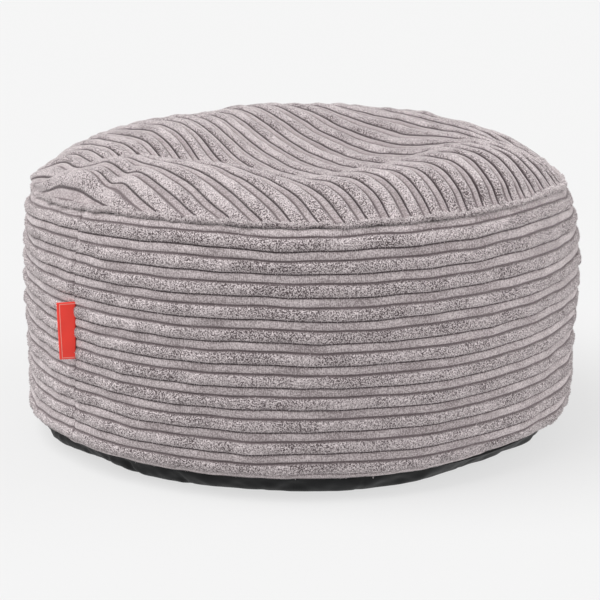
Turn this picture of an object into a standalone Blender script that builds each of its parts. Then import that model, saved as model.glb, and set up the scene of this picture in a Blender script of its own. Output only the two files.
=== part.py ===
# Round ottoman in jumbo corduroy: a filled drum with a puffed, sat-in top and a dark base cloth.
# Metres, +Z up. The origin is under the middle of the base, -Y is the front and +X the right.
# A direction is an angle in degrees from the front, growing towards the right.

import math

import bmesh
import bpy

MM = 0.001

# Whole ottoman
TOP_SEAM_RADIUS = 235.5 * MM
TOP_SEAM_HEIGHT = 223.0 * MM
BASE_SEAM_RADIUS = 229.0 * MM
BASE_SEAM_HEIGHT = 17.0 * MM
FLOOR_RADIUS = 209.0 * MM
SEWN_GAP = 0.3 * MM
WELD = 0.05 * MM

# Jumbo cord: a wide wale and a narrow wale make one pair
PAIR_WIDTH = 18.35 * MM
WIDE_SHARE = 0.6
WIDE_SHOULDER = 0.22
WIDE_RELIEF = 2.0 * MM
NARROW_RELIEF = 1.4 * MM
LEAST_ROW_SPACING = 0.7 * MM

# Side band: its profile at the foot of the wales, from the top seam down to the base seam
BAND_COLUMNS = 56
BAND_SEAM_ROLL = 1.5 * MM
BAND_TOP_INSET = 2.0 * MM
STEPS_PER_ROW = 12
BAND_PROFILE = (
    # height mm, radius mm
    (223.0, 235.5),
    (217.5, 241.0),
    (207.0, 245.5),
    (189.0, 247.3),
    (155.0, 248.0),
    (106.0, 245.8),
    (60.0, 242.2),
    (35.0, 239.8),
    (23.5, 236.3),
    (17.0, 229.0),
)

# Upright seam that joins the band's ends
JOIN_DIRECTION = -49.0
JOIN_LEAN = 4.6
JOIN_DEPTH = 1.8 * MM
JOIN_HALF_WIDTH = 1.7

# Soft places in the filled band: where it is pushed in (negative) or swells
BAND_SLACK = (
    # direction, height mm, half width in degrees, half height mm, push mm
    (66.0, 206.0, 9.0, 14.0, -3.0),
    (-78.0, 208.0, 13.0, 18.0, -2.5),
    (-63.0, 118.0, 8.0, 34.0, -1.2),
    (14.0, 92.0, 32.0, 38.0, 1.2),
    (88.0, 120.0, 24.0, 60.0, 1.6),
    (142.0, 150.0, 22.0, 34.0, -1.8),
    (-166.0, 96.0, 30.0, 50.0, 1.5),
    (-118.0, 70.0, 20.0, 30.0, -1.6),
)

# Top panel: a flat disc of cord eased into a smaller seam, so that it puffs up round a sat-in hollow
WALE_DIRECTION = 36.0
FLAT_RADIUS = 254.0 * MM
FIRST_NARROW = -10.0 * MM
POINTS_ALONG = 22
LIP = 3.0 * MM
LIP_SHARPNESS = 24
RELIEF_LOST_AT_SEAM = 0.6
RELIEF_LOSS_SHARPNESS = 8
HOLLOW_X = 10.0 * MM
HOLLOW_Y = -34.0 * MM
HOLLOW_FLOOR = 226.0 * MM
HOLLOW_ROUNDNESS = 1.6
PUFF_ROUNDNESS = 1.8
CREST = (
    # direction seen from the hollow, crest height mm, crest's share of the way out to the seam
    (0, 250.0, 0.78),
    (30, 256.0, 0.74),
    (60, 261.5, 0.70),
    (90, 260.0, 0.66),
    (120, 258.0, 0.63),
    (150, 258.5, 0.645),
    (180, 258.5, 0.68),
    (210, 257.5, 0.62),
    (240, 259.0, 0.57),
    (270, 246.0, 0.70),
    (300, 253.5, 0.74),
    (330, 254.0, 0.73),
)

# Base cloth, pulled under the band
BASE_RIM = (
    # share of the base seam's height, share of the way out from the floor to the seam
    (0.62, 0.93),
    (0.28, 0.72),
    (0.08, 0.38),
    (0.0, 0.0),
)

# Folded tab caught in the upright seam, standing out from it
TAB_LOW = 96.0 * MM
TAB_HIGH = 145.0 * MM
TAB_REACH_LOW = 12.6 * MM
TAB_REACH_HIGH = 15.0 * MM
TAB_HEADING = -75.0
TAB_THICKNESS = 1.6 * MM
TAB_CLEARANCE = 1.0 * MM

COLOURS = {
    # name: red, green, blue, roughness
    "mink_cord": (0.42, 0.37, 0.375, 0.95),
    "charcoal_cloth": (0.026, 0.028, 0.029, 0.9),
    "red_tab": (0.80, 0.055, 0.04, 0.75),
}


def material(name):
    red, green, blue, roughness = COLOURS[name]
    made = bpy.data.materials.new(name)
    made.use_nodes = True
    surface = made.node_tree.nodes["Principled BSDF"]
    surface.inputs["Base Color"].default_value = (red, green, blue, 1.0)
    surface.inputs["Roughness"].default_value = roughness
    surface.inputs["Metallic"].default_value = 0.0
    return made


def clear_scene():
    for obj in list(bpy.data.objects):
        bpy.data.objects.remove(obj, do_unlink=True)


def ottoman_collection():
    made = bpy.data.collections.new("corduroy_ottoman")
    bpy.context.scene.collection.children.link(made)
    return made


def place(radius, direction):
    """X and Y of the point this far out in a direction."""
    turn = math.radians(direction)
    return radius * math.sin(turn), -radius * math.cos(turn)


def direction_of(x, y):
    return math.degrees(math.atan2(x, -y))


def turn_between(first, second):
    """Smallest signed turn from the second direction to the first."""
    return (first - second + 180.0) % 360.0 - 180.0


def smooth_row(rows, position):
    """Values at a position between rows, on a curve that passes through every row."""
    last = len(rows) - 1
    index = min(int(position), last - 1)
    share = position - index
    before = rows[max(index - 1, 0)]
    start = rows[index]
    end = rows[index + 1]
    after = rows[min(index + 2, last)]
    values = []
    for a, b, c, d in zip(before, start, end, after):
        cubic = -a + 3 * b - 3 * c + d
        square = 2 * a - 5 * b + 4 * c - d
        values.append(0.5 * (2 * b + (c - a) * share + square * share**2 + cubic * share**3))
    return values


def wale_rows(first, last, narrow_centre):
    """Places across the wales and the relief there: a wide wale has two shoulders, a narrow one a crest."""
    wide = WIDE_SHARE * PAIR_WIDTH
    narrow = PAIR_WIDTH - wide
    pair = (
        (0.0, NARROW_RELIEF),
        (narrow / 2, 0.0),
        (narrow / 2 + WIDE_SHOULDER * wide, WIDE_RELIEF),
        (narrow / 2 + (1 - WIDE_SHOULDER) * wide, WIDE_RELIEF),
        (narrow / 2 + wide, 0.0),
    )
    rows = []
    count = math.ceil((first - narrow_centre) / PAIR_WIDTH) - 1
    while narrow_centre + count * PAIR_WIDTH < last:
        start = narrow_centre + count * PAIR_WIDTH
        rows += [(start + across, relief) for across, relief in pair]
        count += 1
    return [row for row in rows if first + LEAST_ROW_SPACING < row[0] < last - LEAST_ROW_SPACING]


def band_course():
    """Points down the band's profile with the length of cloth from the top seam to each."""
    steps = STEPS_PER_ROW * (len(BAND_PROFILE) - 1)
    course = []
    length = 0.0
    for step in range(steps + 1):
        height, radius = smooth_row(BAND_PROFILE, step / STEPS_PER_ROW)
        point = (radius * MM, height * MM)
        if course:
            length += math.dist(point, course[-1][1])
        course.append((length, point))
    return course


def along_course(course, length):
    """Point of the band's profile this far down the cloth, and the outward normal there."""
    for (start, near), (end, far) in zip(course, course[1:]):
        if length <= end:
            share = (length - start) / (end - start)
            radius = near[0] + share * (far[0] - near[0])
            height = near[1] + share * (far[1] - near[1])
            return (radius, height), ((near[1] - far[1]) / (end - start), (far[0] - near[0]) / (end - start))
    return course[-1][1], (1.0, 0.0)


def foot_radius(course, height):
    """Radius at the foot of the wales, at this height."""
    for (_, near), (_, far) in zip(course, course[1:]):
        if far[1] <= height:
            return near[0] + (near[1] - height) / (near[1] - far[1]) * (far[0] - near[0])
    return course[-1][1][0]


def band_profile():
    """The whole drum's profile: flat top, seam, wales, base seam, flat underside."""
    course = band_course()
    cloth = course[-1][0]
    wide = WIDE_SHARE * PAIR_WIDTH
    narrow_centre = BAND_SEAM_ROLL + (PAIR_WIDTH - wide) / 2
    top = TOP_SEAM_HEIGHT - SEWN_GAP / 2
    profile = [(0.0, top), (TOP_SEAM_RADIUS - BAND_TOP_INSET, top)]
    for length, relief in [(BAND_SEAM_ROLL, 0.0)] + wale_rows(BAND_SEAM_ROLL, cloth, narrow_centre):
        (radius, height), (out, up) = along_course(course, length)
        profile.append((radius + relief * out, height + relief * up))
    profile += [(BASE_SEAM_RADIUS, BASE_SEAM_HEIGHT), (0.0, BASE_SEAM_HEIGHT)]
    return profile


def join_direction(height):
    """Direction of the upright seam at a height: it leans a little towards the left as it goes down."""
    middle = (TOP_SEAM_HEIGHT + BASE_SEAM_HEIGHT) / 2
    return JOIN_DIRECTION + JOIN_LEAN * (height - middle) / (TOP_SEAM_HEIGHT - BASE_SEAM_HEIGHT)


def slack(direction, height):
    """How far the filling pushes the band out of round here."""
    push = 0.0
    for centre, middle, width, reach, most in BAND_SLACK:
        across = turn_between(direction, centre) / width
        up = (height / MM - middle) / reach
        push += most * MM * math.exp(-(across**2) - up**2)
    return push


def join_dip(turn):
    """Depth of the crease at the upright seam, this many degrees away from it."""
    return JOIN_DEPTH * max(0.0, 1.0 - abs(turn) / JOIN_HALF_WIDTH)


def gathered(turn):
    """Turn from the upright seam of a column, with its two neighbours drawn close to the seam."""
    spacing = 360.0 / BAND_COLUMNS
    pull = (spacing - JOIN_HALF_WIDTH) * math.exp(1.0)
    near = abs(turn) - pull * math.exp(-((turn / spacing) ** 2))
    return math.copysign(near, turn) if abs(turn) > spacing / 2 else 0.0


def turned_mesh(name, profile):
    """The profile screwed once round the upright axis, as a plain mesh."""
    outline = bpy.data.meshes.new(name)
    points = [(radius, 0.0, height) for radius, height in profile]
    outline.from_pydata(points, [(i, i + 1) for i in range(len(points) - 1)], [])
    guide = bpy.data.objects.new(name + "_outline", outline)
    bpy.context.scene.collection.objects.link(guide)
    screw = guide.modifiers.new("turn", "SCREW")
    screw.steps = BAND_COLUMNS
    screw.render_steps = BAND_COLUMNS
    screw.use_merge_vertices = True
    screw.merge_threshold = 0.0001
    graph = bpy.context.evaluated_depsgraph_get()
    made = bpy.data.meshes.new_from_object(guide.evaluated_get(graph))
    bpy.data.objects.remove(guide, do_unlink=True)
    return made


def put_in(collection, name, mesh, colour):
    mesh.materials.clear()
    mesh.materials.append(material(colour))
    mesh.shade_smooth()
    obj = bpy.data.objects.new(name, mesh)
    collection.objects.link(obj)
    return obj


def side_band(collection):
    """Filled drum under the ribbed band, gathered at the upright seam and made uneven by its slack."""
    mesh = turned_mesh("side_band", band_profile())
    for vertex in mesh.vertices:
        x, y, height = vertex.co
        radius = math.hypot(x, y)
        if radius < BASE_SEAM_RADIUS / 2:
            continue
        turn = gathered(turn_between(direction_of(x, y), direction_of(1.0, 0.0)))
        direction = join_direction(height) + turn
        on_wales = BASE_SEAM_HEIGHT < height < TOP_SEAM_HEIGHT - SEWN_GAP
        if on_wales:
            radius += slack(direction, height) - join_dip(turn)
        vertex.co = (*place(radius, direction), height)
    return put_in(collection, "side_band", mesh, "mink_cord")


def ring_value(column, direction):
    """A column of the crest's table at a direction, on a smooth curve round the whole ring."""
    step = 360.0 / len(CREST)
    start = int(direction % 360.0 // step)
    rows = [(CREST[(start + i) % len(CREST)][column],) for i in (-1, 0, 1, 2)]
    return smooth_row(rows, 1 + (direction % 360.0 - start * step) / step)[0]


def crown_height(x, y):
    """Height of the top cloth at the foot of its wales: up from the seam to the crest, then down."""
    out_x = x - HOLLOW_X
    out_y = y - HOLLOW_Y
    out = math.hypot(out_x, out_y) + 1e-9
    across = (HOLLOW_X * out_x + HOLLOW_Y * out_y) / out
    spare = HOLLOW_X**2 + HOLLOW_Y**2 - TOP_SEAM_RADIUS**2
    share = min(out / (math.sqrt(across**2 - spare) - across), 1.0)
    direction = direction_of(out_x, out_y)
    crest = ring_value(1, direction) * MM
    where = ring_value(2, direction)
    if share > where:
        fall = ((share - where) / (1.0 - where)) ** PUFF_ROUNDNESS
        return TOP_SEAM_HEIGHT + (crest - TOP_SEAM_HEIGHT) * (1.0 - fall)
    rise = (0.5 - 0.5 * math.cos(math.pi * share / where)) ** HOLLOW_ROUNDNESS
    return HOLLOW_FLOOR + (crest - HOLLOW_FLOOR) * rise


def eased(across, along):
    """Plan position of a point of the flat disc, drawn in as the cloth is eased into its seam."""
    share = min(math.hypot(across, along) / FLAT_RADIUS, 1.0)
    ease = FLAT_RADIUS / TOP_SEAM_RADIUS - 1.0
    scale = TOP_SEAM_RADIUS / FLAT_RADIUS * (1.0 + ease * (1.0 - share**2))
    wale = math.radians(WALE_DIRECTION)
    x = scale * (across * math.cos(wale) + along * math.sin(wale))
    y = scale * (across * math.sin(wale) - along * math.cos(wale))
    return x, y, share


def top_lines():
    """Lines that run along the wales of the flat disc, from one edge of it to the other."""
    edges = [(-FLAT_RADIUS, 0.0)]
    return edges + wale_rows(-FLAT_RADIUS, FLAT_RADIUS, FIRST_NARROW) + [(FLAT_RADIUS, 0.0)]


def top_panel(collection):
    """Filled cap: a grid along the wales is eased over the crown, its edge taken down to a flat underside."""
    lines = top_lines()
    form = bmesh.new()
    bmesh.ops.create_grid(form, x_segments=len(lines) - 1, y_segments=POINTS_ALONG, size=1.0)
    for vertex in form.verts:
        across, relief = lines[round((vertex.co.x + 1.0) / 2 * (len(lines) - 1))]
        share = 0.5 * vertex.co.y + 0.5 * math.sin(vertex.co.y * math.pi / 2)
        along = share * math.sqrt(max(FLAT_RADIUS**2 - across**2, 0.0))
        x, y, out = eased(across, along)
        relief *= 1.0 - RELIEF_LOST_AT_SEAM * out**RELIEF_LOSS_SHARPNESS
        vertex.co = (x, y, crown_height(x, y) + relief + LIP * out**LIP_SHARPNESS)
    bmesh.ops.remove_doubles(form, verts=form.verts, dist=WELD)
    rim = [edge for edge in form.edges if edge.is_boundary]
    skirt = bmesh.ops.extrude_edge_only(form, edges=rim)["geom"]
    for vertex in (item for item in skirt if isinstance(item, bmesh.types.BMVert)):
        vertex.co.z = TOP_SEAM_HEIGHT + SEWN_GAP / 2
    underside = [item for item in skirt if isinstance(item, bmesh.types.BMEdge) and item.is_boundary]
    bmesh.ops.contextual_create(form, geom=underside)
    bmesh.ops.recalc_face_normals(form, faces=form.faces)
    mesh = bpy.data.meshes.new("top_panel")
    form.to_mesh(mesh)
    form.free()
    return put_in(collection, "top_panel", mesh, "mink_cord")


def base_panel(collection):
    """Filled pan of base cloth: a rounded rim from the base seam down to the flat face on the floor."""
    top = BASE_SEAM_HEIGHT - SEWN_GAP
    profile = [(0.0, top), (BASE_SEAM_RADIUS, top)]
    for share_up, share_out in BASE_RIM:
        profile.append((FLOOR_RADIUS + share_out * (BASE_SEAM_RADIUS - FLOOR_RADIUS), share_up * top))
    profile.append((0.0, 0.0))
    return put_in(collection, "base_panel", turned_mesh("base_panel", profile), "charcoal_cloth")


def label(collection):
    """Folded tab that leaves the crease of the upright seam and stands out from the band towards the left."""
    course = band_course()
    out_x, out_y = place(1.0, TAB_HEADING)
    form = bmesh.new()
    bmesh.ops.create_grid(form, x_segments=4, y_segments=8, size=1.0)
    for vertex in form.verts:
        share_up = 0.5 + 0.5 * vertex.co.y
        height = TAB_LOW + share_up * (TAB_HIGH - TAB_LOW)
        reach = (0.5 - 0.5 * vertex.co.x) * (TAB_REACH_LOW + share_up * (TAB_REACH_HIGH - TAB_REACH_LOW))
        direction = join_direction(height)
        crease = foot_radius(course, height) + WIDE_RELIEF - JOIN_DEPTH + slack(direction, height)
        x, y = place(crease + TAB_CLEARANCE, direction)
        vertex.co = (x + reach * out_x, y + reach * out_y, height)
    mesh = bpy.data.meshes.new("label")
    form.to_mesh(mesh)
    form.free()
    tab = put_in(collection, "label", mesh, "red_tab")
    fold = tab.modifiers.new("folded cloth", "SOLIDIFY")
    fold.thickness = TAB_THICKNESS
    fold.offset = 0.0
    return tab


def main():
    clear_scene()
    collection = ottoman_collection()
    side_band(collection)
    top_panel(collection)
    base_panel(collection)
    label(collection)


main()
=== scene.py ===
# Round ottoman in jumbo corduroy: a filled drum, a puffed top with a sat-in hollow, a dark base cloth and a
# side tab. Lengths in the dictionaries are millimetres and become metres in the meshes. A direction is in
# degrees from the front, growing towards the right.
import math

import bpy
import numpy as np
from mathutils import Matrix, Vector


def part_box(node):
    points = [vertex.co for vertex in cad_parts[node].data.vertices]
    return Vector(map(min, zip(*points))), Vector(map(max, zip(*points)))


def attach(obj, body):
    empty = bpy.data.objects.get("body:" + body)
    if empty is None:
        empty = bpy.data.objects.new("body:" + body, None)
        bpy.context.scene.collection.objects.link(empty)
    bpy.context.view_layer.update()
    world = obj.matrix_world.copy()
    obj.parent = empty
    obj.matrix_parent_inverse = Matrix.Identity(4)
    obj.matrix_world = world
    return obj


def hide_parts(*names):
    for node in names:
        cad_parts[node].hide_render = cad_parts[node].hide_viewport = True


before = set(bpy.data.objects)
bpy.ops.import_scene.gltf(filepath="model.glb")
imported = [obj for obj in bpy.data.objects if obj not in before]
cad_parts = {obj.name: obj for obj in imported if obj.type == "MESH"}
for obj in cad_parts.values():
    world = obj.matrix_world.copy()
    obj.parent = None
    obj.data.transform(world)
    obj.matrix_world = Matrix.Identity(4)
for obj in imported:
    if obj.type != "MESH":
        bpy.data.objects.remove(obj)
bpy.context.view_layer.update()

mm = 0.001
print("frame loaded:", ", ".join(sorted(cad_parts)))

# The cloth, the same on every panel
cord = {
    "pairWidth": 18.35,  # one narrow and one wide wale
    "narrowRelief": 1.4,  # height of a narrow wale above its grooves
    "wideRelief": 2.8,
    "plumpness": 2.6,  # higher gives a wale a flatter crown and steeper sides
    "footSharpness": 0.6,  # lower lifts a wale's sides more steeply from its feet
    "grooveFloor": 0.06,  # share of a wale's half width left flat at each foot
    "narrowLines": (-1, -0.86, -0.6, -0.2, 0.2, 0.6, 0.86),  # grid lines, -1 and 1 at a wale's feet
    "wideLines": (-1, -0.93, -0.8, -0.55, -0.2, 0.2, 0.55, 0.8, 0.93),
    "leastSpacing": 0.4,
    "softFrom": 0.1,  # shares of a pair: where the soft side starts,
    "softBefore": 0.02,  # how far before the wide wale it is reached
    "softTo": (0.8, 0.97),  # and where it ends
}


def pairPlace(cloth):
    # Share of the way across a pair; the hair added counts a line on the edge of two pairs to the second
    return np.mod(cloth / cord["pairWidth"] + 1e-6, 1.0)


def waleSection(cloth, narrowShare, lean):
    # A pair repeats along the cloth. A wale rises by (1 - |x|^plumpness)^footSharpness with x from -1 to 1
    # between its feet; the share of the way across a wide wale is first raised to the power of its lean
    place = pairPlace(cloth)
    wide = place > narrowShare
    share = np.where(wide, ((place - narrowShare) / (1 - narrowShare)).clip(0) ** lean, place / narrowShare)
    x = np.abs(share * 2 - 1) * (1 + cord["grooveFloor"])
    rise = np.clip(1 - x ** cord["plumpness"], 0, 1) ** cord["footSharpness"]
    return rise, wide


def waleRelief(rise, wide, points, rows):
    # Height of the wales in mm, a little uneven along them
    return rise * np.where(wide, cord["wideRelief"], cord["narrowRelief"]) * (1 + unevenness(points, rows))


def softSide(cloth, narrowShare):
    # 1 in the groove before a wide wale and 0 in the one after it
    place = pairPlace(cloth)
    before = smoothStep(place, cord["softFrom"], narrowShare - cord["softBefore"])
    return before * (1 - smoothStep(place, *cord["softTo"]))


def clothLines(first, last, narrowShare):
    # Lines across the cloth in mm, closest beside the grooves; narrow wales start at 0 and every pair
    narrow = (np.array(cord["narrowLines"]) + 1) / 2 * narrowShare
    wide = narrowShare + (np.array(cord["wideLines"]) + 1) / 2 * (1 - narrowShare)
    pair = np.concatenate([narrow, wide])
    count = np.arange(math.floor(first / cord["pairWidth"]), math.ceil(last / cord["pairWidth"]))
    lines = ((count[:, None] + pair) * cord["pairWidth"]).ravel()
    inside = lines[(lines > first + cord["leastSpacing"]) & (lines < last - cord["leastSpacing"])]
    return np.concatenate([[first], inside, [last]])


def lumps(points, size, seed, waves=14):
    # Smooth unevenness of about unit strength: plane waves about this long (mm) in random directions
    draw = np.random.default_rng(seed)
    heading = draw.normal(size=(waves, 3))
    heading /= np.linalg.norm(heading, axis=1)[:, None]
    length = size * draw.uniform(0.7, 1.5, waves)
    phase = draw.uniform(0, 2 * np.pi, waves)
    total = np.zeros(points.shape[:-1])
    for way, step, start in zip(heading, length, phase):
        total += np.cos(points @ way * (2 * np.pi / step) + start)
    return total * math.sqrt(2 / waves)


def unevenness(points, rows):
    # Lumps added up, a row for each: strength, size in mm, seed
    return sum(most * lumps(points, size, seed) for most, size, seed in rows)


def smoothStep(value, low, high):
    # 0 below low, 1 above high and 3t^2 - 2t^3 between
    share = np.clip((value - low) / (high - low), 0, 1)
    return share * share * (3 - 2 * share)


def smoothRows(rows, position):
    # Catmull-Rom curve through a table's rows, read at positions counted in rows
    table = np.array(rows, float)
    last = len(table) - 1
    index = np.clip(position.astype(int), 0, last - 1)
    share = (position - index)[..., None]
    before = table[np.maximum(index - 1, 0)]
    start = table[index]
    end = table[index + 1]
    after = table[np.minimum(index + 2, last)]
    cubic = -before + 3 * start - 3 * end + after
    square = 2 * before - 5 * start + 4 * end - after
    return 0.5 * (2 * start + (end - before) * share + square * share**2 + cubic * share**3)


def smoothRing(rows, direction):
    # Columns of a table whose rows stand at even turns all round, read in a direction on a smooth closed curve
    ring = [rows[i % len(rows)] for i in range(-1, len(rows) + 2)]
    return np.moveaxis(smoothRows(ring, 1 + direction % 360 / 360 * len(rows)), -1, 0)


def turnBetween(first, second):
    # Smallest signed turn from the second direction to the first
    return (first - second + 180) % 360 - 180


def placeAt(radius, direction):
    # X and Y of the points this far out in a direction
    turn = np.radians(direction)
    return radius * np.sin(turn), -radius * np.cos(turn)


# Meshes from arrays

def gridQuads(rows, columns, closed=False):
    # Quads of a grid whose points are numbered row by row; closed joins the last column to the first
    across = np.arange(columns if closed else columns - 1)
    corner = np.arange(rows - 1)[:, None] * columns + across
    beside = np.arange(rows - 1)[:, None] * columns + (across + 1) % columns
    return np.stack([corner, beside, beside + columns, corner + columns], axis=-1).reshape(-1, 4)


def meshObject(name, points, quads, triangles, flatTriangles=True):
    # Quads are smooth and closing triangles flat; all are turned round if they enclose a negative volume
    points = np.asarray(points, float).reshape(-1, 3)
    quads = np.asarray(quads, int).reshape(-1, 4)
    triangles = np.asarray(triangles, int).reshape(-1, 3)
    corners = np.concatenate([quads[:, [0, 1, 2]], quads[:, [0, 2, 3]], triangles])
    first, second, third = points[corners[:, 0]], points[corners[:, 1]], points[corners[:, 2]]
    if np.einsum("ij,ij->i", first, np.cross(second, third)).sum() < 0:
        quads = quads[:, ::-1]
        triangles = triangles[:, ::-1]
    mesh = bpy.data.meshes.new(name)
    mesh.vertices.add(len(points))
    mesh.vertices.foreach_set("co", (points * mm).ravel())
    mesh.loops.add(quads.size + triangles.size)
    mesh.loops.foreach_set("vertex_index", np.concatenate([quads.ravel(), triangles.ravel()]))
    sides = np.concatenate([np.full(len(quads), 4), np.full(len(triangles), 3)])
    mesh.polygons.add(len(sides))
    mesh.polygons.foreach_set("loop_start", np.cumsum(sides) - sides)
    mesh.update(calc_edges=True)
    mesh.validate()
    smooth = (sides == 4) if flatTriangles else np.ones(len(sides), bool)
    mesh.polygons.foreach_set("use_smooth", smooth)
    piece = bpy.data.objects.new(name, mesh)
    bpy.context.scene.collection.objects.link(piece)
    print(name, len(corners), "triangles")
    return piece


def tubeObject(name, points, ends):
    # Rings of points; the first and the last are closed by a fan round a point on the axis at this height
    rows, columns = points.shape[:2]
    ring = np.arange(columns)
    following = (ring + 1) % columns
    last = (rows - 1) * columns
    fans = np.concatenate([
        np.stack([following, ring, 0 * ring + rows * columns], axis=1),
        np.stack([last + ring, last + following, 0 * ring + rows * columns + 1], axis=1),
    ])
    allPoints = np.concatenate([points.reshape(-1, 3), [(0, 0, end) for end in ends]])
    return meshObject(name, allPoints, gridQuads(rows, columns, True), fans)


def giveAttribute(piece, name, values):
    # Closing points, which follow the grid's own, get 0
    padded = np.zeros(len(piece.data.vertices), np.float32)
    padded[:np.size(values)] = np.ravel(values)
    piece.data.attributes.new(name, "FLOAT", "POINT").data.foreach_set("value", padded)


def giveClothPlan(piece, along, across):
    # UV map of the flat cloth in mm: along the wales, then across them; closing points get 0
    along, across = np.broadcast_arrays(along, across)
    plan = np.zeros((len(piece.data.vertices), 2), np.float32)
    plan[:along.size] = np.stack([along.ravel(), across.ravel()], axis=1)
    corner = np.zeros(len(piece.data.loops), np.int32)
    piece.data.loops.foreach_get("vertex_index", corner)
    piece.data.uv_layers.new(name="clothPlan").data.foreach_set("uv", plan[corner].ravel())


# Materials

def hexColour(code):
    # An sRGB channel c is c / 12.92 up to 0.04045 and ((c + 0.055) / 1.055)^2.4 above it
    channel = np.array([int(code[i:i + 2], 16) for i in (1, 3, 5)]) / 255
    linear = np.where(channel <= 0.04045, channel / 12.92, ((channel + 0.055) / 1.055) ** 2.4)
    return (*linear.tolist(), 1.0)


def addNode(tree, kind, links=None, **settings):
    # Adds a node with its settings; links holds a value or another node's output for each input
    node = tree.nodes.new(kind)
    for name, value in settings.items():
        setattr(node, name, value)
    for socket, value in (links or {}).items():
        if isinstance(value, bpy.types.NodeSocket):
            tree.links.new(value, node.inputs[socket])
        else:
            node.inputs[socket].default_value = value
    return node


def newMaterial(name, settings):
    made = bpy.data.materials.new(name)
    made.use_nodes = True
    shader = made.node_tree.nodes["Principled BSDF"]
    for socket, value in settings.items():
        shader.inputs[socket].default_value = value
    return made, made.node_tree, shader


def textureSpace(tree):
    # The object's own coordinates in metres, and the flat cloth's in mm
    place = addNode(tree, "ShaderNodeTexCoord").outputs["Object"]
    return place, addNode(tree, "ShaderNodeUVMap", uv_map="clothPlan").outputs["UV"]


def fromMesh(tree, name):
    return addNode(tree, "ShaderNodeAttribute", attribute_name=name).outputs["Fac"]


def noise(tree, place, size, **settings):
    # Noise with features about this size in mm
    links = {"Vector": place, "Scale": 1000 / size}
    links.update({name.capitalize(): value for name, value in settings.items()})
    return addNode(tree, "ShaderNodeTexNoise", links).outputs["Fac"]


def bands(tree, plan, pitch, links, across=False):
    # Bands this many mm apart on the flat cloth; a wave texture of scale 1 repeats every 2 pi / 20
    links = {"Vector": plan, "Scale": 2 * math.pi / 20 / pitch, **links}
    return addNode(tree, "ShaderNodeTexWave", links, bands_direction="Y" if across else "X").outputs["Fac"]


def compute(tree, operation, *values, clamp=False):
    links = dict(enumerate(values))
    return addNode(tree, "ShaderNodeMath", links, operation=operation, use_clamp=clamp).outputs[0]


def mapped(tree, value, low, high, start=0.0, end=1.0, curve="LINEAR"):
    # start where the value is at its low, end at its high
    links = {"Value": value, "From Min": low, "From Max": high, "To Min": start, "To Max": end}
    return addNode(tree, "ShaderNodeMapRange", links, interpolation_type=curve).outputs["Result"]


def blend(tree, share, first, second, kind="RGBA"):
    # The first at share 0 and the second at 1; a colour is a hex code or a node's output
    ends = [hexColour(end) if isinstance(end, str) else end for end in (first, second)]
    links = {"Factor": share, "A": ends[0], "B": ends[1]}
    return addNode(tree, "ShaderNodeMix", links, data_type=kind).outputs["Result"]


def finishShader(tree, shader, colour, height=None, strength=1.0, distance=0.0):
    # Colour, and fine relief of up to this distance in mm
    tree.links.new(colour, shader.inputs["Base Color"])
    if height is not None:
        links = {"Height": height, "Strength": strength, "Distance": distance * mm}
        bump = addNode(tree, "ShaderNodeBump", links)
        tree.links.new(bump.outputs["Normal"], shader.inputs["Normal"])


cottonPile = {
    "Roughness": 0.95,
    "Sheen Weight": 0.6,
    "Sheen Roughness": 0.45,
    "Sheen Tint": hexColour("#ede8e8"),
}
cordLook = {
    "light": "#d6cccd",  # tips of the pile
    "gapShade": "#524749",  # painted shade in the gaps between the tufts
    "crispGrooveShade": "#4c4144",  # painted shade at the foot of a wale's steep side
    "softGrooveShade": "#716668",  # and at the foot of its gentle side
    "narrow": "#c9bfc0",
    "narrowDark": "#877d7e",
    "speckSize": 1.05,
    "mottleSize": 1.25,
    "patchSize": 38,
    "ribPitch": 1.5,  # real cross ribs are about 0.5 mm apart; drawn coarser so that they show
    "ribShare": 0.3,  # of the narrow wale's mottling
    "speckPatches": (0.35, 0.62, 0.2, 0.06),  # noise from and to, contrast of the specks there
    "speckHigh": 0.58,  # noise above which the pile is palest
    "topShadeSpecks": 0.045,  # how much further the painted shade specks spread where shade is painted on the top
    "mottle": (0.4, 0.6),
    "wornPatches": (0.38, 0.6, -0.28, 0.06),  # noise from and to, change of the narrow wales there
    "topShadeOnNarrow": 0.42,  # how much darker the narrow wales are where shade is painted on the top
    "grooveRise": (0.2, 0.62), # share of a wale's rise over which the groove's painted shade gives way
    "softSpread": 0.06,  # how much further the soft groove's painted shade climbs
    "ribBump": 0.45,  # bumps of the narrow wales against those of the wide ones
    "bump": (0.8, 0.5),  # strength, height
}


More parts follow.
